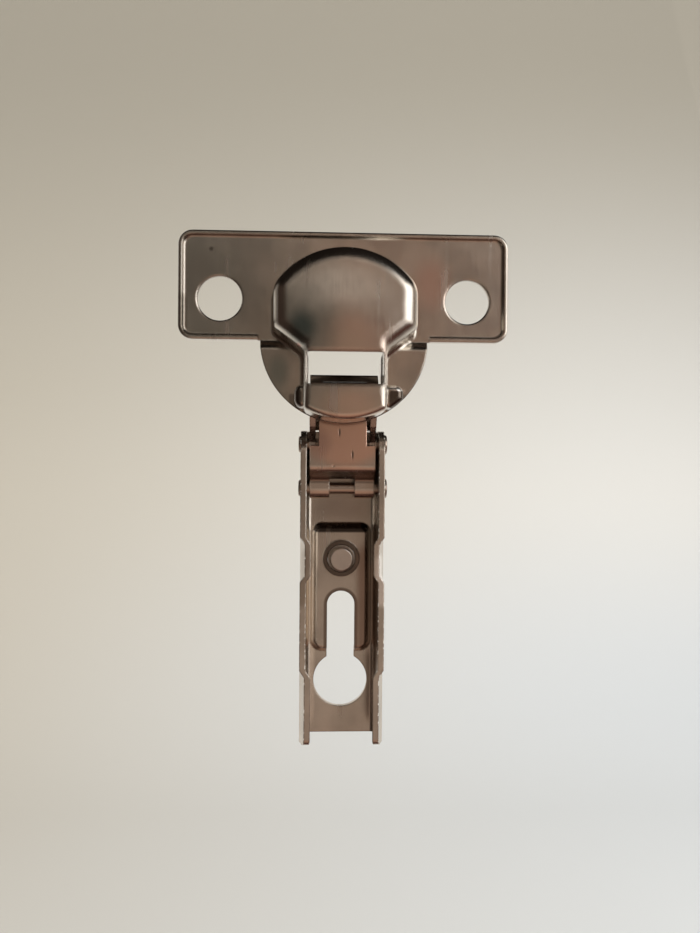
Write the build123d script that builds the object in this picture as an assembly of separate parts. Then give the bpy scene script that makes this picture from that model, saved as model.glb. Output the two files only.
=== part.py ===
from build123d import *
import os
from math import cos, hypot, radians, sin, sqrt, tan

# Concealed cup hinge for a cabinet door, in millimetres, in its open position.
# x runs along the hinge pins. z runs up the arm to the cup. -y points to the side that goes into the door.
# The origin is the centre of the keyhole, in the outer face of the arm's web.

# Sheet thicknesses
arm_sheet = 1.3
cup_sheet = 0.9
outer_link_sheet = 1.3
inner_link_sheet = 0.85

# Arm
arm_width = 17.9
arm_depth = 11.0
arm_front_z = 55.2
arm_rear_z = -11.7
arm_bend_radius = 2.1
arm_nose_radius = 5.0
fold_depth = 7.5
edge_tuck = 1.05
tuck_front = 30.9
tuck_rear = 24.5
tuck_run = 1.6
tail_tuck_z = 4.4

# Raised panel with the keyhole
panel_front = 35.1
panel_rear = 6.4
panel_width = 13.5
panel_rise = 2.2
panel_slope = 28.0
panel_corner = 2.6
panel_round = 0.7
keyhole_radius = 5.95
slot_width = 6.05
slot_end_z = 20.1
tail_corner = 1.5

# Pins of the arm
front_pin_z = 52.3
front_pin_depth = 4.1
rear_pin_pitch = 9.6
rear_pin_depth = 4.2
arm_pin_diameter = 2.5
rivet_head_diameter = 4.3
rivet_head_height = 0.9
rivet_dimple = 0.35
rivet_tail_diameter = 3.6
rivet_tail_height = 0.55

# Cup, whose rim stands a little above the front pin of the arm
rim_to_front_pin = 4.1
door_plane_depth = 12.0
cup_diameter = 35.0
bowl_depth = 11.5
bowl_setback = 0.1
bowl_half_width = 14.6
bowl_side_bottom = 1.2
bowl_draft = 1.3
bowl_bottom_radius = 2.9
bowl_corner_radius = 5.0
bowl_base_radius = 0.7
shoulder_z = -3.6
neck_half_width = 8.45
neck_end_radius = 1.3
neck_bottom_radius = 1.2
neck_blend = 0.6
shoulder_radius = 1.8
armpit_radius = 2.2
wing_width = 69.0
wing_height = 22.7
wing_drop = 0.2
wing_corner = 3.0
lip_height = 1.0
lip_width = 0.9
lip_round = 0.4
lip_foot_radius = 0.5
disc_step = 1.2
disc_overlap = 1.4
fold_start = 0.55
fold_end = 1.75
fold_radius = 1.3
hole_pitch = 52.0
hole_rise = 8.5
hole_diameter = 9.2
hole_round = 0.45
window_top = -3.9
window_bottom = -10.2
boss_length = 4.6
boss_height = 8.3
boss_reach_left = 10.1
boss_reach_right = 11.7
boss_round = 1.6

# Pin of the cup, one bent wire with two legs
cup_pin_diameter = 2.2
outer_leg_in_rim = 4.95
outer_leg_depth = 2.25
inner_leg_in_rim = 5.35
inner_leg_depth = 6.4
cup_pin_bend = 1.6
cup_pin_left = 9.2
cup_pin_right = 10.3

# Outer link
ear_width = 14.2
arm_eye_radius = 2.3
cup_eye_radius = 1.95
ear_waist = 1.2
ear_neck = 0.05
ear_neck_reach = 2.9
link_web_offset = 3.1
link_web_start = 1.2
link_web_end = 4.2

# Inner link
inner_link_width = 14.0
inner_link_waist = 10.2
waist_start = -0.4
knuckle_gap = 5.5
plate_depth = 9.1
ramp_foot = 2.1
ramp_head = 4.4
hook_reach = 4.7
hook_radius = 3.2
hook_crown = 2.0
hook_foot = 3.8
hook_bend_radius = 1.2
eye_opening = 1.6
eye_offset = (0.3, 0.45)
eye_width = 8.6
eye_start_angle = 3
eye_end_angle = 165
hook_wide_low = -0.4
hook_wide_high = 4.0

# Closing spring on the front pin of the arm
spring_wire = 0.95
spring_coils = 5
spring_clearance = 0.55
spring_leg = 5.0
spring_turn = 90

# Side adjusting screw
screw_z = 27.3
thread_diameter = 5.9
collar_diameter = 8.2
collar_height = 0.8
screw_end_diameter = 5.3
screw_end_height = 1.0
screw_neck_diameter = 3.8
screw_neck_height = 1.4
screw_proud = 3.0
screw_sunk = 0.3
drive_width = 3.6
drive_slot = 0.9
drive_depth = 1.6

# Clearances
running_clearance = 0.05
through = 1.0

# Places that several pieces share
front_pin = (-front_pin_depth, front_pin_z)
rear_pin = (-rear_pin_depth, front_pin_z - rear_pin_pitch)
cup_z = front_pin_z + rim_to_front_pin + cup_diameter / 2
door_y = -door_plane_depth


def in_cup(point):
    """Place of a cup point, given up the door and into the door, as y and z of the open hinge."""
    return (door_y - point[1], cup_z + point[0])


outer_leg = (outer_leg_in_rim - cup_diameter / 2, outer_leg_depth)
inner_leg = (inner_leg_in_rim - cup_diameter / 2, inner_leg_depth)
outer_leg_yz = in_cup(outer_leg)
inner_leg_yz = in_cup(inner_leg)
arm_pin_radius = arm_pin_diameter / 2
cup_pin_radius = cup_pin_diameter / 2
inner_width = arm_width - 2 * arm_sheet


def bar(width, sketch, centre=0):
    """Solid of a sketch in y and z that runs along x, centred on a given x."""
    solid = extrude(Plane.YZ * sketch, amount=width / 2, both=True)
    return Pos(centre, 0, 0) * solid


def cross_pin(diameter, length, yz, centre=0):
    """Round bar along x at a place in y and z."""
    return Pos(centre, yz[0], yz[1]) * Rot(0, 90, 0) * Cylinder(diameter / 2, length)


def disc_at(yz, radius):
    """Round sketch in y and z."""
    return Pos(yz[0], yz[1]) * Circle(radius)


def unit(start, end):
    """Length and direction from one point to another."""
    length = hypot(end[0] - start[0], end[1] - start[1])
    return length, ((end[0] - start[0]) / length, (end[1] - start[1]) / length)


def sheet_profile(points, radii, thickness):
    """Closed sketch of a bent sheet, from the corner points of its middle line and the bend radii there."""
    sides = []
    for sign in (1, -1):
        normals = []
        for start, end in zip(points[:-1], points[1:]):
            _, way = unit(start, end)
            normals.append((-way[1] * sign * thickness / 2, way[0] * sign * thickness / 2))
        corners = [(points[0][0] + normals[0][0], points[0][1] + normals[0][1])]
        side_radii = []
        for index, radius in enumerate(radii, start=1):
            first, second = normals[index - 1], normals[index]
            share = (thickness / 2) ** 2 + first[0] * second[0] + first[1] * second[1]
            scale = (thickness / 2) ** 2 * 2 / (2 * share)
            corners.append((
                points[index][0] + (first[0] + second[0]) * scale,
                points[index][1] + (first[1] + second[1]) * scale,
            ))
            turn = first[0] * second[1] - first[1] * second[0]
            side_radii.append(radius - thickness / 2 if turn * sign > 0 else radius + thickness / 2)
        corners.append((points[-1][0] + normals[-1][0], points[-1][1] + normals[-1][1]))
        sides.append((corners, side_radii))
    (left, left_radii), (right, right_radii) = sides
    outline = FilletPolyline(*left, radius=left_radii) + FilletPolyline(*right, radius=right_radii)
    outline += Line(left[0], right[0]) + Line(left[-1], right[-1])
    return make_face(outline)


def make_arm():
    """Folded channel with its raised panel, keyhole, tucked edges and pin holes."""
    section_outer = RectangleRounded(arm_width, 2 * fold_depth, arm_bend_radius)
    section_inner = RectangleRounded(
        inner_width, 2 * (fold_depth - arm_sheet), arm_bend_radius - arm_sheet + 0.3
    )
    length = arm_front_z - arm_rear_z
    trough = Pos(0, -fold_depth) * (section_outer - section_inner)
    trough = trough & (Pos(0, -fold_depth / 2) * Rectangle(arm_width, fold_depth))
    arm = Pos(0, 0, arm_rear_z) * extrude(trough, amount=length)
    arm += make_arm_edges()

    panel_length = panel_front - panel_rear
    panel = RectangleRounded(panel_width, panel_length, panel_corner)
    middle_z = (panel_front + panel_rear) / 2
    facing = Plane(origin=(0, -arm_sheet, middle_z), x_dir=(1, 0, 0), z_dir=(0, -1, 0))
    raised = extrude(facing * panel, amount=panel_rise, taper=panel_slope)
    plateau = raised.faces().sort_by(Axis.Y)[0]
    arm += fillet(plateau.edges(), panel_round)
    inset = arm_sheet * 0.45
    recess = RectangleRounded(
        panel_width - 2 * inset, panel_length - 2 * inset, panel_corner - inset
    )
    back = Plane(origin=(0, 0, middle_z), x_dir=(1, 0, 0), z_dir=(0, -1, 0))
    arm -= extrude(back * recess, amount=panel_rise, taper=panel_slope)

    reach = panel_rise + arm_sheet + through
    slot_length = slot_end_z - slot_width / 2
    keyhole = Circle(keyhole_radius) + Pos(0, slot_length / 2) * Rectangle(slot_width, slot_length)
    keyhole += Pos(0, slot_length) * Circle(slot_width / 2)
    outward = Plane(origin=(0, through, 0), x_dir=(1, 0, 0), z_dir=(0, -1, 0))
    arm -= extrude(outward * keyhole, amount=reach + through)

    collar_plane = Plane(origin=(0, -panel_rise, screw_z), x_dir=(1, 0, 0), z_dir=(0, -1, 0))
    arm += extrude(collar_plane * Circle(collar_diameter / 2), amount=arm_sheet + collar_height, taper=4)
    arm -= Pos(0, -panel_rise, screw_z) * Rot(90, 0, 0) * Cylinder(
        thread_diameter / 2 + running_clearance, 4 * arm_depth
    )
    for yz in (front_pin, rear_pin):
        arm -= cross_pin(arm_pin_diameter, 2 * arm_width, yz)
    return arm & make_arm_outline()


def make_arm_edges():
    """The walls past the fold line, tucked inwards at the notch and behind the keyhole."""
    stations = [
        (arm_rear_z, edge_tuck), (tail_tuck_z - tuck_run, edge_tuck), (tail_tuck_z, 0),
        (tuck_rear - tuck_run, 0), (tuck_rear, edge_tuck),
        (tuck_front, edge_tuck), (tuck_front + tuck_run, 0), (arm_front_z, 0),
    ]
    edges = []
    for side in (-1, 1):
        for (low, low_tuck), (high, high_tuck) in zip(stations[:-1], stations[1:]):
            ends = []
            for z, tuck in ((low, low_tuck), (high, high_tuck)):
                outer = side * arm_width / 2
                inner = side * inner_width / 2
                shift = side * tuck
                ring = Polyline(
                    (outer, -fold_depth, z), (outer - shift, -arm_depth, z),
                    (inner - shift, -arm_depth, z), (inner, -fold_depth, z), close=True,
                )
                ends.append(make_face(ring))
            edges.append(loft(ends, ruled=True))
    return edges


def make_arm_outline():
    """Side view of the arm: rounded nose over the front pin and a plain rear end."""
    corners = [
        (through, arm_rear_z), (-arm_depth, arm_rear_z), (-arm_depth, arm_front_z), (through, arm_front_z),
    ]
    outline = make_face(Polyline(*corners, close=True))
    nose = outline.vertices().filter_by_position(Axis.X, -arm_depth - 0.1, -arm_depth + 0.1)
    outline = fillet(nose.sort_by(Axis.Y)[-1], arm_nose_radius)
    tail = outline.vertices().filter_by_position(Axis.X, -arm_depth - 0.1, -arm_depth + 0.1)
    outline = fillet(tail.sort_by(Axis.Y)[0], tail_corner)
    return bar(2 * arm_width, outline)


def make_arm_pin(yz):
    """Rivet through both walls, with a formed head, a dimple and a flatter tail."""
    half = arm_width / 2
    shank = cross_pin(arm_pin_diameter, arm_width, yz)
    head = Pos(half, yz[0], yz[1]) * Rot(0, 90, 0) * Cylinder(
        rivet_head_diameter / 2, rivet_head_height, align=(Align.CENTER, Align.CENTER, Align.MIN)
    )
    head = fillet(head.faces().sort_by(Axis.X)[-1].edges(), rivet_head_height * 0.45)
    dimple = Pos(half + rivet_head_height + rivet_head_diameter / 4 - rivet_dimple, yz[0], yz[1])
    head -= dimple * Sphere(rivet_head_diameter / 4)
    tail = Pos(-half, yz[0], yz[1]) * Rot(0, -90, 0) * Cylinder(
        rivet_tail_diameter / 2, rivet_tail_height, align=(Align.CENTER, Align.CENTER, Align.MIN)
    )
    tail = chamfer(tail.faces().sort_by(Axis.X)[0].edges(), rivet_tail_height * 0.4)
    return shank + head + tail


def bowl_outline(inset):
    """Outline of the bowl: the bore's circle cut by straight sides, and slanted shoulders to the neck."""
    radius = cup_diameter / 2 - bowl_setback - inset
    side = bowl_half_width - inset
    neck = neck_half_width - inset
    side_top = sqrt(radius ** 2 - side ** 2)
    slant = 0.41 * inset
    bottom = (shoulder_z + window_bottom) / 2 - armpit_radius
    right = [(side, side_top), (side, bowl_side_bottom + slant), (neck, shoulder_z + slant), (neck, bottom)]
    left = [(-x, z) for x, z in reversed(right)]
    lines = Polyline(*right) + Line(right[-1], left[0]) + Polyline(*left)
    lines += ThreePointArc(left[-1], (0, radius), right[0])
    face = make_face(lines)
    at_top = [v for v in face.vertices() if abs(v.Y - side_top) < 0.01]
    face = fillet(at_top, bowl_corner_radius - inset)
    at_side = [v for v in face.vertices() if abs(v.Y - right[1][1]) < 0.01]
    face = fillet(at_side, shoulder_radius - inset)
    at_pit = [v for v in face.vertices() if abs(v.Y - right[2][1]) < 0.01]
    face = fillet(at_pit, armpit_radius + inset)
    at_bottom = [v for v in face.vertices() if abs(v.Y - bottom) < 0.01]
    return fillet(at_bottom, bowl_bottom_radius)


def neck_outline(inset):
    """Outline of the neck, from inside the bowl to the edge of the bore."""
    radius = cup_diameter / 2 - bowl_setback - inset
    half = neck_half_width - inset
    end = -sqrt(radius ** 2 - half ** 2)
    lines = Polyline((-half, end), (-half, neck_blend), (half, neck_blend), (half, end))
    lines += ThreePointArc((half, end), (0, -radius), (-half, end))
    face = make_face(lines)
    at_end = [v for v in face.vertices() if abs(v.Y - end) < 0.01]
    return fillet(at_end, neck_end_radius - inset)


def door_side_plane(depth):
    """Plane across the cup at a depth into the door, with z up and facing the door."""
    return Plane(origin=(0, door_y - depth, cup_z), x_dir=(1, 0, 0), z_dir=(0, -1, 0))


def bowl_solid(inset, low, high):
    """Tapered bowl and neck between two depths, both rounded at the bottom."""
    pieces = []
    shapes = ((bowl_outline(inset), bowl_bottom_radius), (neck_outline(inset), neck_bottom_radius))
    for outline, radius in shapes:
        piece = extrude(door_side_plane(low) * outline, amount=high - low, taper=bowl_draft)
        bottom = piece.faces().sort_by(Axis.Y)[0]
        pieces.append(fillet(bottom.edges(), radius - inset))
    return pieces[0] + pieces[1]


def make_half_disc():
    """Half disc below the wings, stepped towards the door by a soft fold."""
    wing_y = door_y + cup_sheet / 2
    disc_y = wing_y - disc_step
    disc_radius = cup_diameter / 2
    points = [
        (wing_y, cup_z + disc_overlap), (wing_y, cup_z - fold_start),
        (disc_y, cup_z - fold_end), (disc_y, cup_z - 2 * disc_radius),
    ]
    sheet = bar(4 * disc_radius, sheet_profile(points, [fold_radius, fold_radius], cup_sheet))
    bore = extrude(door_side_plane(-2 * cup_sheet) * Circle(disc_radius), amount=4 * cup_sheet + disc_step)
    return sheet & bore


def make_cup():
    """Bowl, stepped half disc and two lipped wings, drawn from one sheet."""
    wing_middle = wing_height / 2 - wing_drop
    plate = Pos(0, wing_middle) * RectangleRounded(wing_width, wing_height, wing_corner)
    pocket = Pos(0, wing_middle) * RectangleRounded(
        wing_width - 2 * lip_width, wing_height - 2 * lip_width, wing_corner - lip_width
    )
    cup = extrude(door_side_plane(-cup_sheet) * plate, amount=cup_sheet + lip_height)
    opening = Pos(0, -wing_drop) * Rectangle(cup_diameter + lip_width, 4 * lip_width)
    cup -= extrude(door_side_plane(0) * (pocket + opening), amount=lip_height + through)
    crest_y = door_y - lip_height
    crest = cup.edges().filter_by_position(Axis.Y, crest_y - 0.01, crest_y + 0.01)
    cup = fillet(crest.sort_by(Axis.Z)[-1], lip_round)
    foot = cup.edges().filter_by_position(Axis.Y, door_y - 0.01, door_y + 0.01)
    cup = fillet(foot.sort_by(Axis.Z)[-1], lip_foot_radius)
    for side in (-1, 1):
        hole = Pos(side * hole_pitch / 2, hole_rise) * Circle(hole_diameter / 2)
        cup -= extrude(door_side_plane(-cup_sheet - through) * hole, amount=2 * through + cup_sheet + lip_height)
    rims = cup.edges().filter_by(GeomType.CIRCLE).filter_by_position(Axis.Y, door_y - 0.01, door_y + 0.01)
    cup = fillet([rim for rim in rims if abs(rim.radius - hole_diameter / 2) < 0.01], hole_round)
    cup += make_half_disc()

    cup += bowl_solid(0, 0, bowl_depth)
    for side, reach in ((-1, boss_reach_left), (1, boss_reach_right)):
        cup += make_boss(side, reach)
    cup = fillet(bowl_base(cup), bowl_base_radius)
    cup -= bowl_solid(cup_sheet, -cup_sheet - through, bowl_depth - cup_sheet)

    window_height = window_top - window_bottom
    neck_inside = neck_half_width - cup_sheet
    window = Pos(0, (window_top + window_bottom) / 2) * Rectangle(2 * neck_inside, window_height)
    cup -= extrude(door_side_plane(bowl_depth / 2) * window, amount=bowl_depth)
    return cup


def bowl_base(cup):
    """Edges where the bowl meets the wings; those below, on the half disc, run on smoothly from them."""
    level = cup.edges().filter_by_position(Axis.Y, door_y - 0.01, door_y + 0.01)
    above = [edge for edge in level if edge.center().Z > cup_z + cup_sheet / 10]
    return [edge for edge in above if hypot(edge.center().X, edge.center().Z - cup_z) < cup_diameter / 2]


def make_boss(side, reach):
    """Pressed boss beside the neck, which houses the ends of the bent pin."""
    inside = neck_half_width - cup_sheet / 2
    middle = (outer_leg[0] + inner_leg[0]) / 2
    outline = Pos(side * (inside + reach) / 2, middle) * Rectangle(reach - inside, boss_length)
    outline = fillet(outline.vertices().group_by(Axis.X)[-1 if side > 0 else 0], boss_round)
    outline = outline & Circle(cup_diameter / 2 - bowl_setback)
    foot = disc_step - cup_sheet / 2
    boss = extrude(door_side_plane(foot) * outline, amount=boss_height - foot)
    top = boss.faces().sort_by(Axis.Y)[0]
    outside = [edge for edge in top.edges() if abs(abs(edge.center().X) - inside) > 0.01]
    return fillet(outside, boss_round * 0.7)


def make_cup_pin():
    """One wire bent like a staple: both legs carry a link, and the bend lies in the right boss."""
    lower = (outer_leg_yz[0], outer_leg_yz[1])
    upper = (inner_leg_yz[0], inner_leg_yz[1])
    path = FilletPolyline(
        (-cup_pin_left, lower[0], lower[1]), (cup_pin_right, lower[0], lower[1]),
        (cup_pin_right, upper[0], upper[1]), (-cup_pin_left, upper[0], upper[1]),
        radius=cup_pin_bend,
    )
    start = Plane(origin=(-cup_pin_left, lower[0], lower[1]), z_dir=(1, 0, 0))
    return sweep(start * Circle(cup_pin_radius), path=path)


def make_outer_link():
    """U-shaped link: two ears on the arm's front pin and the cup's shallow leg, joined by a short web."""
    length, way = unit(front_pin, outer_leg_yz)
    across = (way[1], -way[0])

    def spot(along, aside):
        return (
            front_pin[0] + along * way[0] + aside * across[0],
            front_pin[1] + along * way[1] + aside * across[1],
        )

    web_far = link_web_offset + outer_link_sheet
    strip = Polyline(
        spot(0, -ear_waist), spot(length / 2, -ear_waist), spot(length - ear_neck_reach, -ear_neck),
        spot(length, -ear_waist), spot(length, cup_eye_radius),
        spot(link_web_end, web_far), spot(link_web_start, web_far), spot(0, arm_eye_radius), close=True,
    )
    ear = make_face(strip) + disc_at(front_pin, arm_eye_radius) + disc_at(outer_leg_yz, cup_eye_radius)
    ear_middle = (ear_width - outer_link_sheet) / 2
    link = bar(outer_link_sheet, ear, ear_middle) + bar(outer_link_sheet, ear, -ear_middle)
    web = Polyline(
        spot(link_web_start, link_web_offset), spot(link_web_end, link_web_offset),
        spot(link_web_end, web_far), spot(link_web_start, web_far), close=True,
    )
    link += bar(ear_width, make_face(web))
    link -= cross_pin(arm_pin_diameter + 2 * running_clearance, 2 * ear_width, front_pin)
    link -= cross_pin(cup_pin_diameter + 2 * running_clearance, 2 * ear_width, outer_leg_yz)
    return link


def make_inner_link():
    """Goose-necked sheet: knuckles on the rear pin, a plate over the front pin and a hook round the cup pin."""
    bore = arm_pin_radius + running_clearance
    knuckle_middle = bore + inner_link_sheet / 2
    knuckle_top = (rear_pin[0] - knuckle_middle, rear_pin[1])
    plate_y = -plate_depth
    hook_z = outer_leg_yz[1] + hook_reach
    eye = (inner_leg_yz[0] - eye_offset[1], inner_leg_yz[1] + eye_offset[0])
    eye_middle = eye_opening + inner_link_sheet / 2
    angle = radians(eye_start_angle)
    eye_start = (eye[0] - eye_middle * sin(angle), eye[1] + eye_middle * cos(angle))
    foot_y = door_y - hook_foot
    points = [
        knuckle_top,
        (knuckle_top[0], rear_pin[1] + ramp_foot),
        (plate_y, rear_pin[1] + ramp_head),
        (plate_y, hook_z),
        (door_y - hook_crown, hook_z),
        (foot_y, eye_start[1] + (foot_y - eye_start[0]) * tan(angle)),
        eye_start,
    ]
    bends = [1.2, 1.2, hook_radius, hook_bend_radius, hook_bend_radius]
    profile = sheet_profile(points, bends, inner_link_sheet)

    knuckle = disc_at(rear_pin, bore + inner_link_sheet) - disc_at(rear_pin, bore)
    curl = disc_at(eye, eye_opening + inner_link_sheet) - disc_at(eye, eye_opening)
    wedge_reach = 3 * eye_middle
    wedge = [eye]
    for step in range(5):
        turn = radians(eye_start_angle + (eye_end_angle - eye_start_angle) * step / 4)
        wedge.append((eye[0] - wedge_reach * sin(turn), eye[1] + wedge_reach * cos(turn)))
    curl = curl & make_face(Polyline(*wedge, close=True))

    link = bar(inner_link_width, profile + knuckle) + bar(eye_width, curl)
    waist_low = front_pin_z + waist_start
    cut_high = inner_leg_yz[1] + 2 * hook_reach
    cut_top = make_face(Polyline(
        (0, waist_low), (door_y - hook_wide_low, waist_low), (door_y - hook_wide_low, cut_high), (0, cut_high),
        close=True,
    ))
    cut_eye = make_face(Polyline(
        (door_y - hook_wide_high, waist_low), (4 * door_y, waist_low), (4 * door_y, cut_high),
        (door_y - hook_wide_high, cut_high), close=True,
    ))
    for width, cut in ((inner_link_waist, cut_top), (eye_width, cut_eye)):
        side_cut = (inner_link_width - width) / 2
        for side in (-1, 1):
            link -= bar(side_cut, cut, side * (inner_link_width - side_cut) / 2)
    gap = Rectangle(4 * arm_pin_diameter, 2 * ramp_foot)
    link -= bar(knuckle_gap, Pos(rear_pin[0], rear_pin[1]) * gap)
    return link


def make_spring():
    """Torsion spring round the front pin, with both legs along the arm."""
    coil_radius = arm_pin_radius + spring_clearance + spring_wire / 2
    pitch = spring_wire * 1.08
    span = pitch * (spring_coils + 0.5)
    coil = Helix(pitch, span, coil_radius)
    start = Plane(origin=coil @ 0, z_dir=coil % 0)
    spring = sweep(start * Circle(spring_wire / 2), path=coil, is_frenet=True)
    for end in spring.faces().filter_by(GeomType.PLANE):
        spring += extrude(end, amount=spring_leg)
    stand = Pos(-span / 2, front_pin[0], front_pin[1]) * Rot(0, 90, 0)
    return stand * Rot(0, 0, spring_turn) * spring


def make_screw():
    """Adjusting screw: cross recess at the room side, neck and round end at the panel side."""
    top = -panel_rise + screw_sunk
    end = -panel_rise - arm_sheet - screw_proud
    sections = [
        (thread_diameter, end + screw_end_height + screw_neck_height, top),
        (screw_neck_diameter, end + screw_end_height, end + screw_end_height + screw_neck_height),
        (screw_end_diameter, end, end + screw_end_height),
    ]
    screw = None
    for diameter, low, high in sections:
        plane = Plane(origin=(0, low, screw_z), x_dir=(1, 0, 0), z_dir=(0, 1, 0))
        piece = extrude(plane * Circle(diameter / 2), amount=high - low)
        screw = piece if screw is None else screw + piece
    screw = chamfer(screw.faces().sort_by(Axis.Y)[0].edges(), 0.35)
    cross = Rectangle(drive_width, drive_slot) + Rectangle(drive_slot, drive_width)
    drive = Plane(origin=(0, top, screw_z), x_dir=(1, 0, 0), z_dir=(0, -1, 0))
    return screw - extrude(drive * cross, amount=drive_depth)


def main():
    cup_pin = make_cup_pin()
    pieces = {
        "arm": make_arm(),
        "arm_pin_front": make_arm_pin(front_pin),
        "arm_pin_rear": make_arm_pin(rear_pin),
        "closing_spring": make_spring(),
        "side_adjust_screw": make_screw(),
        "outer_link": make_outer_link(),
        "inner_link": make_inner_link(),
        "cup": make_cup() - cup_pin,
        "cup_pin": cup_pin,
    }
    os.makedirs("parts", exist_ok=True)
    for name, piece in pieces.items():
        export_step(piece, f"parts/{name}.step")


main()
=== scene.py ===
# %% [markdown]
# This scene dresses one concealed cup hinge for a cabinet door. The hinge was drawn as solids first,
# so its shape, its pins and its moving bodies come from the imported model. What is made here is what
# the solids can't hold: the nickel plate with its rolling lines, scratches, stain marks, burrs and shallow
# dents, the painted shade, highlights and reflections on it, the light and the camera.

# %% Load the imported hinge
import math

import bpy
import bmesh
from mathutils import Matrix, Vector

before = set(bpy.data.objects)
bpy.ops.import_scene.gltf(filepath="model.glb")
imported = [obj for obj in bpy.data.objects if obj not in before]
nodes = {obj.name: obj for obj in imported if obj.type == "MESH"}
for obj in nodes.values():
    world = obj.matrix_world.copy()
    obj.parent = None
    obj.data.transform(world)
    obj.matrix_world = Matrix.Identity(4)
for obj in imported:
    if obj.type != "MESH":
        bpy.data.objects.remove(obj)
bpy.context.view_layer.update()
scene = bpy.context.scene
print("nodes", sorted(nodes))

# %% [markdown]
# The camera comes before everything else, because each finish is judged through it. The photograph was
# taken with a small wide lens about 17 cm away, so the bowl, which stands nearer, looks larger than the
# wings. A camera could be placed by eye, but its numbers were fitted to points that show: the holes, the
# rivets, the keyhole and the corners of the wings. A small turn to the side and a small roll belong to
# it. The place is in metres and the angles are in degrees.

# %% Camera
FRAME_HEIGHT = 933
FOCAL_PIXELS = 792.0
CAMERA_PLACE = (-0.0058, -0.1781, 0.0475)
CAMERA_YAW = 2.5
CAMERA_PITCH = 0.0
CAMERA_ROLL = 0.41
SENSOR_HEIGHT = 36.0
NEAREST_SEEN = 0.01

camera_data = bpy.data.cameras.new("camera")
camera_data.sensor_fit = "VERTICAL"
camera_data.sensor_height = SENSOR_HEIGHT
camera_data.lens = FOCAL_PIXELS / FRAME_HEIGHT * camera_data.sensor_height
camera_data.clip_start = NEAREST_SEEN
camera = bpy.data.objects.new("camera", camera_data)
scene.collection.objects.link(camera)
camera.location = CAMERA_PLACE
yaw, pitch = math.radians(CAMERA_YAW), math.radians(CAMERA_PITCH)
ahead = Vector((math.sin(yaw) * math.cos(pitch), math.cos(yaw) * math.cos(pitch), math.sin(pitch)))
camera.rotation_euler = ahead.to_track_quat("-Z", "Y").to_euler()
camera.rotation_euler.rotate_axis("Z", math.radians(CAMERA_ROLL))
scene.camera = camera
print("lens", round(camera_data.lens, 2), "mm")

# %% [markdown]
# A node tree is easier to read when each node is one short call. This helper adds a node, sets its
# properties, and sets or links its inputs. More helpers cover what comes up most often: a Math node, a
# soft step from 0 to 1, a mask between two limits, and a mix of two colours.

# %% Helpers for node trees
def add_node(tree, kind, inputs=None, **settings):
    """Adds a node, sets its properties, and sets or links its inputs."""
    node = tree.nodes.new(kind)
    for key, value in settings.items():
        setattr(node, key, value)
    for key, value in (inputs or {}).items():
        if isinstance(value, bpy.types.NodeSocket):
            tree.links.new(value, node.inputs[key])
        else:
            node.inputs[key].default_value = value
    return node


def math_node(tree, operation, first, second=0.0, third=0.0):
    """One Math node, given values or links."""
    return add_node(tree, "ShaderNodeMath", {0: first, 1: second, 2: third}, operation=operation).outputs[0]


def soft_step(tree, value, low, high):
    """Goes smoothly from 0 at low to 1 at high."""
    return add_node(tree, "ShaderNodeMapRange", {"Value": value, "From Min": low, "From Max": high},
                    interpolation_type="SMOOTHSTEP").outputs["Result"]


def between(tree, value, low, high, soft):
    """Mask of the values between two limits, with soft ends."""
    rise = soft_step(tree, value, low - soft, low + soft)
    fall = soft_step(tree, value, high + soft, high - soft)
    return math_node(tree, "MULTIPLY", rise, fall)


def blend_colour(tree, factor, first, second):
    """Mixes two colours."""
    return add_node(tree, "ShaderNodeMix", {"Factor": factor, "A": first, "B": second},
                    data_type="RGBA").outputs["Result"]


print("helpers add_node, math_node, soft_step, between and blend_colour")

# %% [markdown]
# Polished metal has almost no colour of its own: it shows the room. A picture of a room could be
# wrapped round the scene, but then a file would have to travel with the part, so the room is mixed
# from tones. Straight in front it is warm and brown. To the left it is dark, below it is lighter and
# copper, above it is nearly black with one bright strip, and a bright window fills the right. Behind
# the hinge is the pale wall.

# %% Tones of the room
FRONT_TONE = (0.29, 0.22, 0.165, 1)
PATCH_TONE = (0.31, 0.18, 0.13, 1)
RIGHT_TONE = (0.20, 0.132, 0.098, 1)
LEFT_TONE = (0.12, 0.108, 0.09, 1)
FAR_LEFT_TONE = (0.05, 0.034, 0.026, 1)
LOW_TONE = (0.40, 0.32, 0.26, 1)
DEEP_TONE = (0.45, 0.28, 0.205, 1)
BELOW_TONE = (0.10, 0.045, 0.035, 1)
STRIP_TONE = (0.85, 0.75, 0.66, 1)
TOP_TONE = (0.012, 0.009, 0.007, 1)
WINDOW_TONE = (2.4, 2.32, 2.24, 1)
SIDE_TONE = (0.5, 0.47, 0.43, 1)
BACK_TONE = (0.80, 0.76, 0.70, 1)
print("red of the room from", TOP_TONE[0], "to", WINDOW_TONE[0])

# %% [markdown]
# Each tone needs a place. The world's nodes turn the direction of a ray into two angles, in radians: how
# far to the side it goes, and how far up. The side angle is 0 straight in front and grows to the right.

# %% Angles of a ray
world = bpy.data.worlds.new("room")
scene.world = world
world.use_nodes = True
tree = world.node_tree
tree.nodes.clear()
way = add_node(tree, "ShaderNodeTexCoord").outputs["Generated"]
parts = add_node(tree, "ShaderNodeSeparateXYZ", {"Vector": way})
forward = math_node(tree, "MULTIPLY", parts.outputs["Y"], -1.0)
side_angle = math_node(tree, "ARCTAN2", parts.outputs["X"], forward)
side_size = math_node(tree, "ABSOLUTE", side_angle)
height_angle = math_node(tree, "ARCSINE", parts.outputs["Z"])
print("world", world.name)

# %% [markdown]
# Each layer names an angle, where its tone begins, where it is full, and the tone. A later layer covers
# the earlier ones, so the room is painted from back to front, like a stage. Three places need both
# angles and multiply two masks: the dark place low on the right, the strip of light, and the window.
# Each side of the strip and of the window is given by its low end, its high end and its softness.

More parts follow.
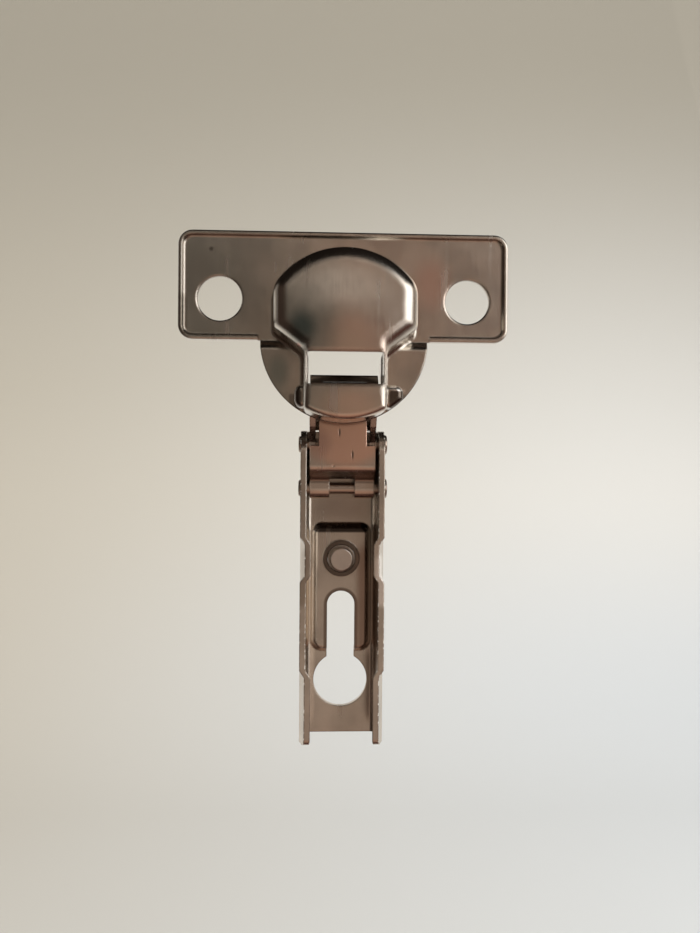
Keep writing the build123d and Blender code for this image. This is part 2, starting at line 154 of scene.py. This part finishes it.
# %% Layers of the room
FRONT_LAYERS = (
    (side_angle, 0.08, 0.2, RIGHT_TONE),
    (side_angle, 0.03, -0.07, LEFT_TONE),
    (height_angle, -0.08, -0.18, LOW_TONE),
    (height_angle, -0.35, -0.5, DEEP_TONE),
    (side_angle, -0.2, -0.5, FAR_LEFT_TONE),
)
OUTER_LAYERS = (
    (side_size, 1.7, 1.9, SIDE_TONE),
    (side_size, 1.9, 2.2, BACK_TONE),
    (height_angle, -1.0, -1.25, BELOW_TONE),
    (height_angle, 0.46, 0.56, TOP_TONE),
)
BLOTCH_SCALE = 5.0
BLOTCH_LIMITS = (0.4, 0.65)
LOW_RIGHT_SIDES = (0.3, 0.5)
LOW_RIGHT_HEIGHTS = (-0.2, -0.35)
STRIP_SIDES = (-0.35, 1.6, 0.15)
STRIP_HEIGHTS = (0.38, 0.45, 0.03)
WINDOW_SIDES = (0.4, 1.3, 0.06)
WINDOW_HEIGHTS = (-0.12, 0.6, 0.08)


def add_layers(tree, room, layers):
    """Lays tones over the room, one after another."""
    for angle, begins, full, tone in layers:
        room = blend_colour(tree, soft_step(tree, angle, begins, full), room, tone)
    return room


blotches = add_node(tree, "ShaderNodeTexNoise", {"Vector": way, "Scale": BLOTCH_SCALE, "Detail": 2.0})
patches = soft_step(tree, blotches.outputs["Fac"], *BLOTCH_LIMITS)
room = blend_colour(tree, patches, FRONT_TONE, PATCH_TONE)
room = add_layers(tree, room, FRONT_LAYERS)
low_right = math_node(tree, "MULTIPLY", soft_step(tree, side_angle, *LOW_RIGHT_SIDES),
                      soft_step(tree, height_angle, *LOW_RIGHT_HEIGHTS))
room = blend_colour(tree, low_right, room, BELOW_TONE)
room = add_layers(tree, room, OUTER_LAYERS)
strip = math_node(tree, "MULTIPLY", between(tree, height_angle, *STRIP_HEIGHTS),
                  between(tree, side_angle, *STRIP_SIDES))
room = blend_colour(tree, strip, room, STRIP_TONE)
window = math_node(tree, "MULTIPLY", between(tree, side_angle, *WINDOW_SIDES),
                   between(tree, height_angle, *WINDOW_HEIGHTS))
room = blend_colour(tree, window, room, WINDOW_TONE)
print("room layers", len(FRONT_LAYERS) + len(OUTER_LAYERS))

# %% [markdown]
# The camera itself doesn't see that room but a plain pale wall, so Light Path picks the colour. Rays
# that light dull surfaces get an even tone, which keeps the wall and the floor clean.

# %% World output
PALE_WALL_TONE = (0.83, 0.81, 0.77, 1)
EVEN_LIGHT_TONE = (0.9, 0.88, 0.85, 1)

rays = add_node(tree, "ShaderNodeLightPath")
seen = blend_colour(tree, rays.outputs["Is Camera Ray"], room, PALE_WALL_TONE)
seen = blend_colour(tree, rays.outputs["Is Diffuse Ray"], seen, EVEN_LIGHT_TONE)
background = add_node(tree, "ShaderNodeBackground", {"Color": seen, "Strength": 1.0})
add_node(tree, "ShaderNodeOutputWorld", {"Surface": background.outputs[0]})
print("world nodes", len(tree.nodes))

# %% [markdown]
# A floor and a wall could be two planes, but then a line would cross the picture where they meet. They
# are one sheet that curves up behind the hinge instead. Glossy rays pass through the sheet, so that the
# metal shows only the room of the world, all the way round. Lengths are in metres.

# %% Floor and wall
FLOOR_Z = -0.14
FLOOR_FRONT_Y = -1.6
WALL_Y = 0.5
WALL_TOP_Z = 1.6
SWEEP_RADIUS = 0.25
SWEEP_STEPS = 12
HALF_WIDTH = 1.6


def sweep_points():
    """Side line of the floor, the curve and the wall."""
    line = [(FLOOR_FRONT_Y, FLOOR_Z)]
    for step in range(SWEEP_STEPS + 1):
        angle = math.radians(90 * step / SWEEP_STEPS)
        line.append((WALL_Y - SWEEP_RADIUS + SWEEP_RADIUS * math.sin(angle),
                     FLOOR_Z + SWEEP_RADIUS * (1 - math.cos(angle))))
    line.append((WALL_Y, WALL_TOP_Z))
    return line


mesh = bpy.data.meshes.new("floor_and_wall")
form = bmesh.new()
rows = [[form.verts.new((side * HALF_WIDTH, y, z)) for side in (-1, 1)] for y, z in sweep_points()]
for lower, upper in zip(rows[:-1], rows[1:]):
    form.faces.new((lower[0], lower[1], upper[1], upper[0]))
for face in form.faces:
    face.smooth = True
form.to_mesh(mesh)
form.free()
floor = bpy.data.objects.new("floor_and_wall", mesh)
scene.collection.objects.link(floor)
floor.visible_glossy = False
print("floor and wall", len(mesh.polygons), "faces")

# %% [markdown]
# The paint follows the wall in the photograph: darker at the top, warm on the left, lighter on the
# right, and a little blue low down on the right. Lamps could shade it so, but they would light the
# hinge too, so the tones are in the paint. Each pair of limits says where a tone begins and is full.

# %% Wall paint
WALL_LEFT_TONE = (0.62, 0.58, 0.50, 1)
WALL_RIGHT_TONE = (0.78, 0.77, 0.74, 1)
WALL_HIGH_TONE = (0.42, 0.39, 0.33, 1)
WALL_LOW_TONE = (0.68, 0.71, 0.735, 1)
ACROSS_LIMITS = (-0.35, 0.3)
UPWARD_LIMITS = (0.0, 0.42)
DOWNWARD_LIMITS = (0.04, -0.13)
WALL_ROUGHNESS = 0.9
WALL_SPECULAR = 0.1

paint = bpy.data.materials.new("wall_paint")
paint.use_nodes = True
tree = paint.node_tree
shader = tree.nodes["Principled BSDF"]
place = add_node(tree, "ShaderNodeNewGeometry").outputs["Position"]
place_parts = add_node(tree, "ShaderNodeSeparateXYZ", {"Vector": place})
across = soft_step(tree, place_parts.outputs["X"], *ACROSS_LIMITS)
upward = soft_step(tree, place_parts.outputs["Z"], *UPWARD_LIMITS)
downward = soft_step(tree, place_parts.outputs["Z"], *DOWNWARD_LIMITS)
shade = blend_colour(tree, across, WALL_LEFT_TONE, WALL_RIGHT_TONE)
shade = blend_colour(tree, upward, shade, WALL_HIGH_TONE)
shade = blend_colour(tree, math_node(tree, "MULTIPLY", downward, across), shade, WALL_LOW_TONE)
tree.links.new(shade, shader.inputs["Base Color"])
shader.inputs["Roughness"].default_value = WALL_ROUGHNESS
shader.inputs["Specular IOR Level"].default_value = WALL_SPECULAR
floor.data.materials.append(paint)
print("paint", paint.name)

# %% [markdown]
# One lamp stands for the window on the right, and lights what isn't metal. A sun or a point lamp would
# throw hard shadows, so it is a large soft area. Glossy rays don't meet it, because the world already
# shows the window to them.

# %% Lamp
LAMP_PLACE = (0.45, -0.12, 0.16)
LAMP_AIM = (0, -0.01, 0.045)
LAMP_SIZE = 0.3
LAMP_POWER = 1.6
LAMP_COLOUR = (1.0, 0.98, 0.95)

data = bpy.data.lights.new("window_lamp", "AREA")
data.shape = "SQUARE"
data.size = LAMP_SIZE
data.energy = LAMP_POWER
data.color = LAMP_COLOUR
lamp = bpy.data.objects.new("window_lamp", data)
scene.collection.objects.link(lamp)
lamp.location = LAMP_PLACE
lamp.rotation_euler = (Vector(LAMP_AIM) - Vector(LAMP_PLACE)).to_track_quat("-Z", "Y").to_euler()
lamp.visible_glossy = False
print("lamp", lamp.name, LAMP_POWER, "W")

# %% [markdown]
# Effects that several materials share are node groups. A group puts out only masks, and each material
# decides what they do. This helper starts a group with named inputs and outputs.

# %% Helper for node groups
def new_group(name, inputs, outputs):
    """Starts a node group with named inputs and outputs and returns it with its end nodes."""
    group = bpy.data.node_groups.new(name, "ShaderNodeTree")
    for label, kind, value in inputs:
        socket = group.interface.new_socket(name=label, in_out="INPUT", socket_type=kind)
        if value is not None:
            socket.default_value = value
    for label, kind in outputs:
        group.interface.new_socket(name=label, in_out="OUTPUT", socket_type=kind)
    return group, add_node(group, "NodeGroupInput"), add_node(group, "NodeGroupOutput")


print("helper new_group")

# %% [markdown]
# Rolled steel sheet carries fine lines from the rollers, and tumbling before plating blurs them. The
# lines could be drawn on an image, but a noise that is stretched along the sheet fits every piece without
# unwrapping it. The same group gives soft clouds, for the plate that is a little duller in places, and
# slow waves, for sheet that is never quite flat.

# %% Group: rolling lines, clouds and waves
ALONG_THE_SHEET = (3.0, 3.0, 0.15)
LINES_SCALE = 900.0
CLOUDS_SCALE = 110.0
WAVES_SCALE = 75.0

rolling, given, result = new_group(
    "rolling_lines",
    [("Position", "NodeSocketVector", None), ("Stretch", "NodeSocketVector", ALONG_THE_SHEET),
     ("Scale", "NodeSocketFloat", LINES_SCALE)],
    [("Lines", "NodeSocketFloat"), ("Clouds", "NodeSocketFloat"), ("Waves", "NodeSocketFloat")],
)
stretched = add_node(rolling, "ShaderNodeVectorMath",
                     {0: given.outputs["Position"], 1: given.outputs["Stretch"]}, operation="MULTIPLY")
lines = add_node(rolling, "ShaderNodeTexNoise",
                 {"Vector": stretched.outputs[0], "Scale": given.outputs["Scale"], "Detail": 3.0,
                  "Roughness": 0.6})
clouds = add_node(rolling, "ShaderNodeTexNoise",
                  {"Vector": given.outputs["Position"], "Scale": CLOUDS_SCALE, "Detail": 3.0,
                   "Roughness": 0.55})
waves = add_node(rolling, "ShaderNodeTexNoise",
                 {"Vector": given.outputs["Position"], "Scale": WAVES_SCALE, "Detail": 1.0})
rolling.links.new(lines.outputs["Fac"], result.inputs["Lines"])
rolling.links.new(clouds.outputs["Fac"], result.inputs["Clouds"])
rolling.links.new(waves.outputs["Fac"], result.inputs["Waves"])
print("group", rolling.name)

# %% [markdown]
# Handling leaves thin scratches in a few directions, denser in some places than in others. Cut into the
# mesh they would cost very many faces. Each direction is a noise squeezed into thin streaks instead, of
# which only the highest peaks are kept. A direction is given by its angle in radians and its scale.

# %% Group: handling scratches
DIRECTIONS = ((0.06, 520.0), (-0.5, 310.0), (1.35, 260.0))
STREAK = (1.0, 1.0, 0.05)
PEAKS = (0.66, 0.72)
PATCH_SCALE = 70.0
PATCH_LIMITS = (0.45, 0.6)

scratches, given, result = new_group(
    "handling_scratches",
    [("Position", "NodeSocketVector", None), ("Amount", "NodeSocketFloat", 0.5)],
    [("Scratches", "NodeSocketFloat")],
)
found = None
for angle, scale in DIRECTIONS:
    turned = add_node(scratches, "ShaderNodeMapping",
                      {"Vector": given.outputs["Position"], "Rotation": (0.0, angle, 0.0),
                       "Scale": STREAK})
    grain = add_node(scratches, "ShaderNodeTexNoise",
                     {"Vector": turned.outputs[0], "Scale": scale, "Detail": 1.0})
    thin = soft_step(scratches, grain.outputs["Fac"], *PEAKS)
    found = thin if found is None else math_node(scratches, "MAXIMUM", found, thin)
patch = add_node(scratches, "ShaderNodeTexNoise",
                 {"Vector": given.outputs["Position"], "Scale": PATCH_SCALE})
where = soft_step(scratches, patch.outputs["Fac"], *PATCH_LIMITS)
found = math_node(scratches, "MULTIPLY", math_node(scratches, "MULTIPLY", found, where),
                  given.outputs["Amount"])
scratches.links.new(found, result.inputs["Scratches"])
print("group", scratches.name)

# %% [markdown]
# A dent, a stain, a worn place or a patch of painted shade or highlight sits at one spot, so this group
# makes a soft mask round a point. Its size is given along x, y and z, so that one group can be a round
# stain or a long thin dent. A core stretches it straight, for the painted dark line round the slot, and
# Edge says how sharply it ends.

# %% Group: one soft spot
spot, given, result = new_group(
    "soft_spot",
    [("Position", "NodeSocketVector", None), ("Place", "NodeSocketVector", (0.0, 0.0, 0.0)),
     ("Size", "NodeSocketVector", (0.001, 0.001, 0.001)), ("Core", "NodeSocketVector", (0.0, 0.0, 0.0)),
     ("Edge", "NodeSocketFloat", 0.2)],
    [("Mask", "NodeSocketFloat")],
)
away = add_node(spot, "ShaderNodeVectorMath",
                {0: given.outputs["Position"], 1: given.outputs["Place"]}, operation="SUBTRACT")
away = add_node(spot, "ShaderNodeVectorMath", {0: away.outputs[0]}, operation="ABSOLUTE")
away = add_node(spot, "ShaderNodeVectorMath",
                {0: away.outputs[0], 1: given.outputs["Core"]}, operation="SUBTRACT")
away = add_node(spot, "ShaderNodeVectorMath", {0: away.outputs[0], 1: (0, 0, 0)}, operation="MAXIMUM")
scaled = add_node(spot, "ShaderNodeVectorMath",
                  {0: away.outputs[0], 1: given.outputs["Size"]}, operation="DIVIDE")
reach = add_node(spot, "ShaderNodeVectorMath", {0: scaled.outputs[0]}, operation="LENGTH")
spot.links.new(soft_step(spot, reach.outputs["Value"], 1.0, given.outputs["Edge"]), result.inputs["Mask"])
print("group", spot.name)

# %% [markdown]
# A mark says where it is and how large, in millimetres of the hinge, and if need be its core and its
# edge. This helper puts one such mark into a material, so that a list of marks is enough for a piece.

# %% Helper for marks
NO_CORE = (0, 0, 0)
SOFT_EDGE = 0.2
MM = 1 / 1000


def spot_mask(tree, place, mark):
    """Mask of one mark in a material."""
    node = add_node(tree, "ShaderNodeGroup", {"Position": place}, node_tree=spot)
    for label, value in (("Place", mark["at"]), ("Size", mark["size"]), ("Core", mark.get("core", NO_CORE))):
        node.inputs[label].default_value = [part * MM for part in value]
    node.inputs["Edge"].default_value = mark.get("edge", SOFT_EDGE)
    return node.outputs["Mask"]


print("helper spot_mask, edge", SOFT_EDGE)

# %% [markdown]
# All the pieces are nickel-plated steel. Each could have a material of its own, but then a change would
# have to be made many times, so one function mixes the plate from three parts. The first is its colour:
# soft clouds, then marks that tint the plate, which are real stain marks or painted shade, highlights and
# reflections, then scratches that darken it.

# %% Colour of the plate
CLOUD_SHADE = 0.78
CLOUD_LIMITS = (0.3, 0.7)
SCRATCH_TINT = (0.30, 0.24, 0.19, 1)
SCRATCH_SHARE = 0.35


def plate_colour(tree, place, tone, clouds, scratched, stains_and_painted_light):
    """Tone of the plate with clouds, stain marks, painted light and scratches."""
    darker = tuple(channel * CLOUD_SHADE for channel in tone[:3]) + (1,)
    colour = blend_colour(tree, soft_step(tree, clouds, *CLOUD_LIMITS), darker, tone)
    # Each mark tints the plate: a real stain, or painted shade, highlight or reflection.
    for mark in stains_and_painted_light:
        share = math_node(tree, "MULTIPLY", spot_mask(tree, place, mark), mark["strength"])
        colour = blend_colour(tree, share, colour, mark["tint"])
    return blend_colour(tree, math_node(tree, "MULTIPLY", scratched, SCRATCH_SHARE), colour, SCRATCH_TINT)


print("helper plate_colour, cloud shade", CLOUD_SHADE)

# %% [markdown]
# The sheared edges of the arm have tiny burrs that catch light from all sides. They are too small to
# model, so they are bright flecks in the colour, and not metallic. They lie where the rounded normal
# departs from the true one, which is only at an edge, and on the outer walls only. Widths are in
# millimetres from the middle of the arm.

# %% Burrs on sheared edges
BURR_TINT = (0.92, 0.88, 0.80, 1)
BURR_SCALE = 900.0
BURR_TURN = (0.99, 0.93)
BURR_FLECKS = (0.5, 0.62)
INNER_HALF_WIDTH = 6.9
OUTER_HALF_WIDTH = 7.3


def burr_mask(tree, place, rounded, amount):
    """Bright flecks along the edges of the outer walls."""
    flat = add_node(tree, "ShaderNodeNewGeometry").outputs["Normal"]
    turned = add_node(tree, "ShaderNodeVectorMath", {0: flat, 1: rounded},
                      operation="DOT_PRODUCT").outputs["Value"]
    flecks = add_node(tree, "ShaderNodeTexNoise", {"Vector": place, "Scale": BURR_SCALE, "Detail": 2.0})
    side = add_node(tree, "ShaderNodeSeparateXYZ", {"Vector": place}).outputs["X"]
    outer = soft_step(tree, math_node(tree, "ABSOLUTE", side), INNER_HALF_WIDTH * MM, OUTER_HALF_WIDTH * MM)
    worn = math_node(tree, "MULTIPLY", soft_step(tree, turned, *BURR_TURN),
                     soft_step(tree, flecks.outputs["Fac"], *BURR_FLECKS))
    return math_node(tree, "MULTIPLY", math_node(tree, "MULTIPLY", worn, outer), amount)


print("helper burr_mask, from", INNER_HALF_WIDTH, "mm outwards")

# %% [markdown]
# The last part is relief that is too fine for the solids. Tumbling rounds every sheared edge a little,
# so that edges catch the light, and the bowl is softer still, because it is drawn. A Bevel modifier would
# change the mesh, so a Bevel node rounds only the shading. Bump nodes then add slow waves, dents, rolling
# lines and scratches. Heights are in metres.

# %% Relief of the plate
WAVE_HEIGHT = 0.0004
DENT_UNIT = 0.001
FINE_HEIGHT = 0.00003
FINE_STRENGTH = 0.07


def rounded_normal(tree, place, edge_round, soft_form):
    """Normal with rounded edges, rounded more inside a drawn form."""
    rounded = add_node(tree, "ShaderNodeBevel", {"Radius": edge_round * MM}, samples=4)
    if soft_form:
        radius = math_node(tree, "MULTIPLY_ADD", spot_mask(tree, place, soft_form),
                           soft_form["more"] * MM, edge_round * MM)
        tree.links.new(radius, rounded.inputs["Radius"])
    return rounded.outputs["Normal"]


def bump(tree, height, strength, distance, normal):
    """One Bump node over a given normal."""
    return add_node(tree, "ShaderNodeBump", {"Height": height, "Strength": strength, "Distance": distance,
                                             "Normal": normal}).outputs["Normal"]


def plate_relief(tree, place, normal, rolled, scratched, waviness, lines_relief, dents):
    """Waves, dents, rolling lines and scratches."""
    normal = bump(tree, rolled.outputs["Waves"], waviness, WAVE_HEIGHT, normal)
    if dents:
        pressed = 0.0
        for mark in dents:
            pressed = math_node(tree, "MULTIPLY_ADD", spot_mask(tree, place, mark), -mark["depth"], pressed)
        normal = bump(tree, pressed, 1.0, DENT_UNIT, normal)
    lines = math_node(tree, "MULTIPLY", rolled.outputs["Lines"], lines_relief)
    fine = math_node(tree, "MULTIPLY_ADD", scratched, -1.0, lines)
    return bump(tree, fine, FINE_STRENGTH, FINE_HEIGHT, normal)


print("helpers rounded_normal, bump and plate_relief")

# %% [markdown]
# The three parts meet in one material. Its values differ from piece to piece: how warm the tone is, how
# rough and how wavy it is, and which marks it has.

# %% Nickel plate
SCRATCH_ROUGHNESS = 0.15


def nickel(name, tone, roughness, lines_depth=0.05, lines_relief=0.2, scratch_amount=0.5, waviness=0.45,
           edge_round=0.25, soft_form=None, burrs=0.0, stains_and_painted_light=(), dents=()):
    """Nickel-plated steel with rolling lines, clouds, scratches, burrs, stain marks, painted light and dents.
    """
    material = bpy.data.materials.new(name)
    material.use_nodes = True
    tree = material.node_tree
    shader = tree.nodes["Principled BSDF"]
    place = add_node(tree, "ShaderNodeTexCoord").outputs["Object"]
    rolled = add_node(tree, "ShaderNodeGroup", {"Position": place}, node_tree=rolling)
    scratching = add_node(tree, "ShaderNodeGroup", {"Position": place, "Amount": scratch_amount},
                          node_tree=scratches)
    scratched = scratching.outputs["Scratches"]
    rounded = rounded_normal(tree, place, edge_round, soft_form)

    colour = plate_colour(tree, place, tone, rolled.outputs["Clouds"], scratched, stains_and_painted_light)
    if burrs:
        worn = burr_mask(tree, place, rounded, burrs)
        colour = blend_colour(tree, worn, colour, BURR_TINT)
        tree.links.new(math_node(tree, "SUBTRACT", 1.0, worn), shader.inputs["Metallic"])
    else:
        shader.inputs["Metallic"].default_value = 1.0
    tree.links.new(colour, shader.inputs["Base Color"])

    rough = math_node(tree, "MULTIPLY_ADD", rolled.outputs["Lines"], lines_depth * 2, roughness - lines_depth)
    rough = math_node(tree, "MULTIPLY_ADD", scratched, SCRATCH_ROUGHNESS, rough)
    tree.links.new(rough, shader.inputs["Roughness"])
    relief = plate_relief(tree, place, rounded, rolled, scratched, waviness, lines_relief, dents)
    tree.links.new(relief, shader.inputs["Normal"])
    return material


print("helper nickel, scratches add", SCRATCH_ROUGHNESS, "roughness")

# %% [markdown]
# The cup has a painted dark greenish reflection at the lower left of the bowl and on the half disc, a
# small painted red reflection beside it, lighter warm patches of painted reflection on the face of the bowl,
# lower on the neck and on the right wing, a real speck on the left wing, a darker band along the left edge
# of the left wing, painted shade on both bosses and a painted highlight above the right one. The face of the
# drawn bowl is a little domed, which is a very wide mark with a depth below zero, and its shading is
# softened by one more mark.

# %% Marks on the cup
# A dark tone for a real grease speck and for painted shade on the bosses, in the dents and in the hook.
GREASE_AND_SHADE = (0.09, 0.07, 0.055, 1)
CUP_STAINS_AND_PAINTED_LIGHT = (
    # Painted dark greenish reflection on the bowl and on the half disc.
    {"at": (-8.6, -23.4, 74.6), "size": (4.0, 3.0, 5.0), "tint": (0.17, 0.215, 0.205, 1), "strength": 0.9},
    {"at": (-13.6, -13.2, 67.2), "size": (3.2, 3.0, 5.0), "tint": (0.36, 0.40, 0.36, 1), "strength": 0.7},
    # Painted red reflection, then lighter warm patches of painted reflection.
    {"at": (-9.7, -22.5, 71.0), "size": (1.2, 3.0, 1.0), "tint": (0.85, 0.25, 0.18, 1), "strength": 0.85},
    {"at": (2.5, -24.0, 71.5), "size": (11.0, 4.0, 8.0), "tint": (0.84, 0.63, 0.52, 1), "strength": 0.55},
    {"at": (18.5, -12.0, 86.0), "size": (5.5, 3.0, 8.0), "tint": (0.80, 0.55, 0.46, 1), "strength": 0.55},
    {"at": (1.0, -23.0, 59.0), "size": (9.0, 5.0, 6.0), "tint": (0.88, 0.68, 0.56, 1), "strength": 0.7},
    # A real speck on the left wing, then a darker band along the left edge of the left wing.
    {"at": (-27.8, -12.0, 92.7), "size": (0.7, 2.0, 0.7), "tint": GREASE_AND_SHADE, "strength": 0.6},
    {"at": (-34.0, -11.5, 77.5), "size": (1.6, 3.0, 2.0), "core": (0.0, 0.0, 4.5), "edge": 0.5,
     "tint": (0.34, 0.30, 0.25, 1), "strength": 0.8},
    # Painted shade on the right boss, a painted highlight above it, and painted shade on the left boss.
    {"at": (11.2, -19.0, 60.9), "size": (1.2, 4.0, 1.2), "core": (1.5, 3.0, 1.1), "edge": 0.5,
     "tint": GREASE_AND_SHADE, "strength": 0.9},
    {"at": (11.2, -19.0, 63.4), "size": (1.2, 4.0, 0.8), "core": (1.2, 3.0, 0.1), "edge": 0.4,
     "tint": (1.0, 0.97, 0.93, 1), "strength": 0.95},
    {"at": (-10.2, -19.0, 60.9), "size": (1.0, 4.0, 1.2), "core": (0.8, 3.0, 1.1), "edge": 0.5,
     "tint": GREASE_AND_SHADE, "strength": 0.85},
)
CUP_DENTS = (
    {"at": (0.0, -24.0, 75.5), "size": (18.0, 12.0, 14.0), "edge": 0.0, "depth": -0.8},
)
DRAWN_BOWL = {"at": (0.0, -24.0, 75.5), "size": (19.0, 9.0, 19.0), "edge": 0.7, "more": 0.9}
print("marks on the cup", len(CUP_STAINS_AND_PAINTED_LIGHT) + len(CUP_DENTS))

# %% [markdown]
# The plate of the inner link is copper, its hook is greasy and darkened by painted shade inside the cup,
# and pliers left two short dents and a nick. Painted shade darkens the two dents and a line along the fold
# above the knuckles.

# %% Marks on the inner link
LINK_DENTS = (
    {"at": (-0.75, -9.5, 54.8), "size": (0.35, 2.0, 1.2), "depth": 0.03},
    {"at": (2.05, -9.5, 50.0), "size": (0.35, 2.0, 1.3), "depth": 0.03},
    {"at": (-2.0, -9.3, 47.6), "size": (0.45, 2.0, 0.4), "depth": 0.06},
)
LINK_STAINS_AND_PAINTED_SHADE = (
    # Grease and painted shade on the hook.
    {"at": (0.0, -18.6, 64.0), "size": (10.0, 6.0, 4.6), "tint": GREASE_AND_SHADE, "strength": 0.95, "edge": 0.8},
    {"at": (0.5, -9.5, 53.5), "size": (10.0, 3.5, 7.5), "tint": (0.92, 0.62, 0.49, 1), "strength": 0.9,
     "edge": 0.6},
    {"at": (-5.0, -9.5, 52.5), "size": (3.5, 3.0, 5.0), "tint": (0.56, 0.38, 0.33, 1), "strength": 0.6},
    # Painted shade in the two dents, then along the fold above the knuckles.
    {"at": (-0.75, -9.5, 54.8), "size": (0.3, 2.0, 1.2), "tint": GREASE_AND_SHADE, "strength": 0.75},
    {"at": (2.05, -9.5, 50.0), "size": (0.3, 2.0, 1.3), "tint": GREASE_AND_SHADE, "strength": 0.75},
    {"at": (0.0, -6.5, 44.6), "size": (1.0, 5.0, 1.0), "core": (8.0, 0.0, 0.0), "edge": 0.4,
     "tint": (0.22, 0.17, 0.14, 1), "strength": 0.8},
)
print("marks on the inner link", len(LINK_STAINS_AND_PAINTED_SHADE) + len(LINK_DENTS))

# %% [markdown]
# Painted shade draws dark lines round the slot and the screw of the arm and along the front of its panel,
# and a painted shadow of the inner link lies on the web. The panel is painted darker on its right side.
# Beside the notches the right wall has a painted highlight and the left wall painted shade, and lower down
# the left wall has a painted highlight and the right wall painted shade.

# %% Marks on the arm
ARM_PAINTED_LIGHT = (
    # Painted shade round the slot and round the screw.
    {"at": (0.0, -3.5, 11.3), "size": (3.95, 3.0, 3.95), "core": (0.0, 0.0, 5.75), "edge": 0.88,
     "tint": (0.20, 0.15, 0.12, 1), "strength": 0.85},
    {"at": (0.0, -4.3, 27.3), "size": (4.4, 1.5, 4.4), "edge": 0.88, "tint": (0.13, 0.10, 0.08, 1),
     "strength": 0.9},
    # Painted shadow of the inner link on the web, then painted shade along the front of the panel.
    {"at": (0.0, -1.5, 38.2), "size": (9.0, 2.5, 4.5), "tint": (0.42, 0.35, 0.30, 1), "strength": 0.7},
    {"at": (0.0, -3.0, 34.2), "size": (1.5, 2.0, 1.5), "core": (5.2, 0.0, 0.0), "edge": 0.7,
     "tint": (0.035, 0.025, 0.02, 1), "strength": 0.95},
    # Darker on the right side of the panel.
    {"at": (5.4, -3.8, 14.0), "size": (2.9, 1.8, 5.0), "core": (0.0, 0.0, 13.0), "edge": 0.3,
     "tint": (0.33, 0.23, 0.18, 1), "strength": 0.85},
    # Painted shade on the lower right wall and a painted highlight on the lower left wall.
    {"at": (6.9, -1.3, 8.0), "size": (1.6, 1.4, 5.0), "core": (0.0, 0.0, 14.0), "edge": 0.4,
     "tint": (0.46, 0.36, 0.30, 1), "strength": 0.6},
    {"at": (-6.9, -1.3, 8.0), "size": (1.6, 1.4, 5.0), "core": (0.0, 0.0, 14.0), "edge": 0.4,
     "tint": (0.92, 0.84, 0.74, 1), "strength": 0.8},
    # Painted highlight on the right wall and painted shade on the left wall, beside the notches.
    {"at": (8.4, -11.5, 23.5), "size": (2.0, 4.5, 3.0), "core": (0.0, 0.0, 3.5), "edge": 0.4,
     "tint": (0.98, 0.95, 0.91, 1), "strength": 0.9},
    {"at": (-8.6, -11.5, 24.0), "size": (2.0, 4.5, 3.0), "core": (0.0, 0.0, 4.0), "edge": 0.4,
     "tint": (0.40, 0.34, 0.28, 1), "strength": 0.7},
)
print("marks on the arm", len(ARM_PAINTED_LIGHT))

# %% [markdown]
# Pieces that are pressed, turned or drawn differ in tone and roughness, so each node gets its own plate,
# and the three pins share one. The meshes stay as they are: only their material is replaced.

# %% Finishes of the pieces
finishes = {
    "cup": nickel("cup_nickel", tone=(0.70, 0.65, 0.58, 1), roughness=0.21, edge_round=0.5,
                  soft_form=DRAWN_BOWL, scratch_amount=0.8, stains_and_painted_light=CUP_STAINS_AND_PAINTED_LIGHT, dents=CUP_DENTS),
    "arm": nickel("arm_nickel", tone=(0.68, 0.62, 0.55, 1), roughness=0.25, edge_round=0.35, burrs=0.9,
                  stains_and_painted_light=ARM_PAINTED_LIGHT),
    "outer_link": nickel("outer_link_nickel", tone=(0.64, 0.59, 0.54, 1), roughness=0.27,
                         lines_relief=0.03),
    "inner_link": nickel("inner_link_nickel", tone=(0.68, 0.60, 0.53, 1), roughness=0.24,
                         lines_relief=0.1, lines_depth=0.03, scratch_amount=0.6, stains_and_painted_light=LINK_STAINS_AND_PAINTED_SHADE,
                         dents=LINK_DENTS),
    "arm_pin_front": nickel("rivet_nickel", tone=(0.54, 0.47, 0.41, 1), roughness=0.25),
    "closing_spring": nickel("spring_steel", tone=(0.40, 0.38, 0.35, 1), roughness=0.3, edge_round=0.05),
    "side_adjust_screw": nickel("screw_nickel", tone=(0.80, 0.72, 0.65, 1), roughness=0.3, waviness=0.9),
}
finishes["arm_pin_rear"] = finishes["arm_pin_front"]
finishes["cup_pin"] = finishes["arm_pin_front"]
for name, material in finishes.items():
    piece = nodes[name]
    piece.data.materials.clear()
    piece.data.materials.append(material)
print("finished", len(finishes), "nodes")

# %% [markdown]
# The Standard view transform shows a colour about as it is written, while the usual one would soften the
# whites of the window.

# %% View settings
scene.view_settings.view_transform = "Standard"
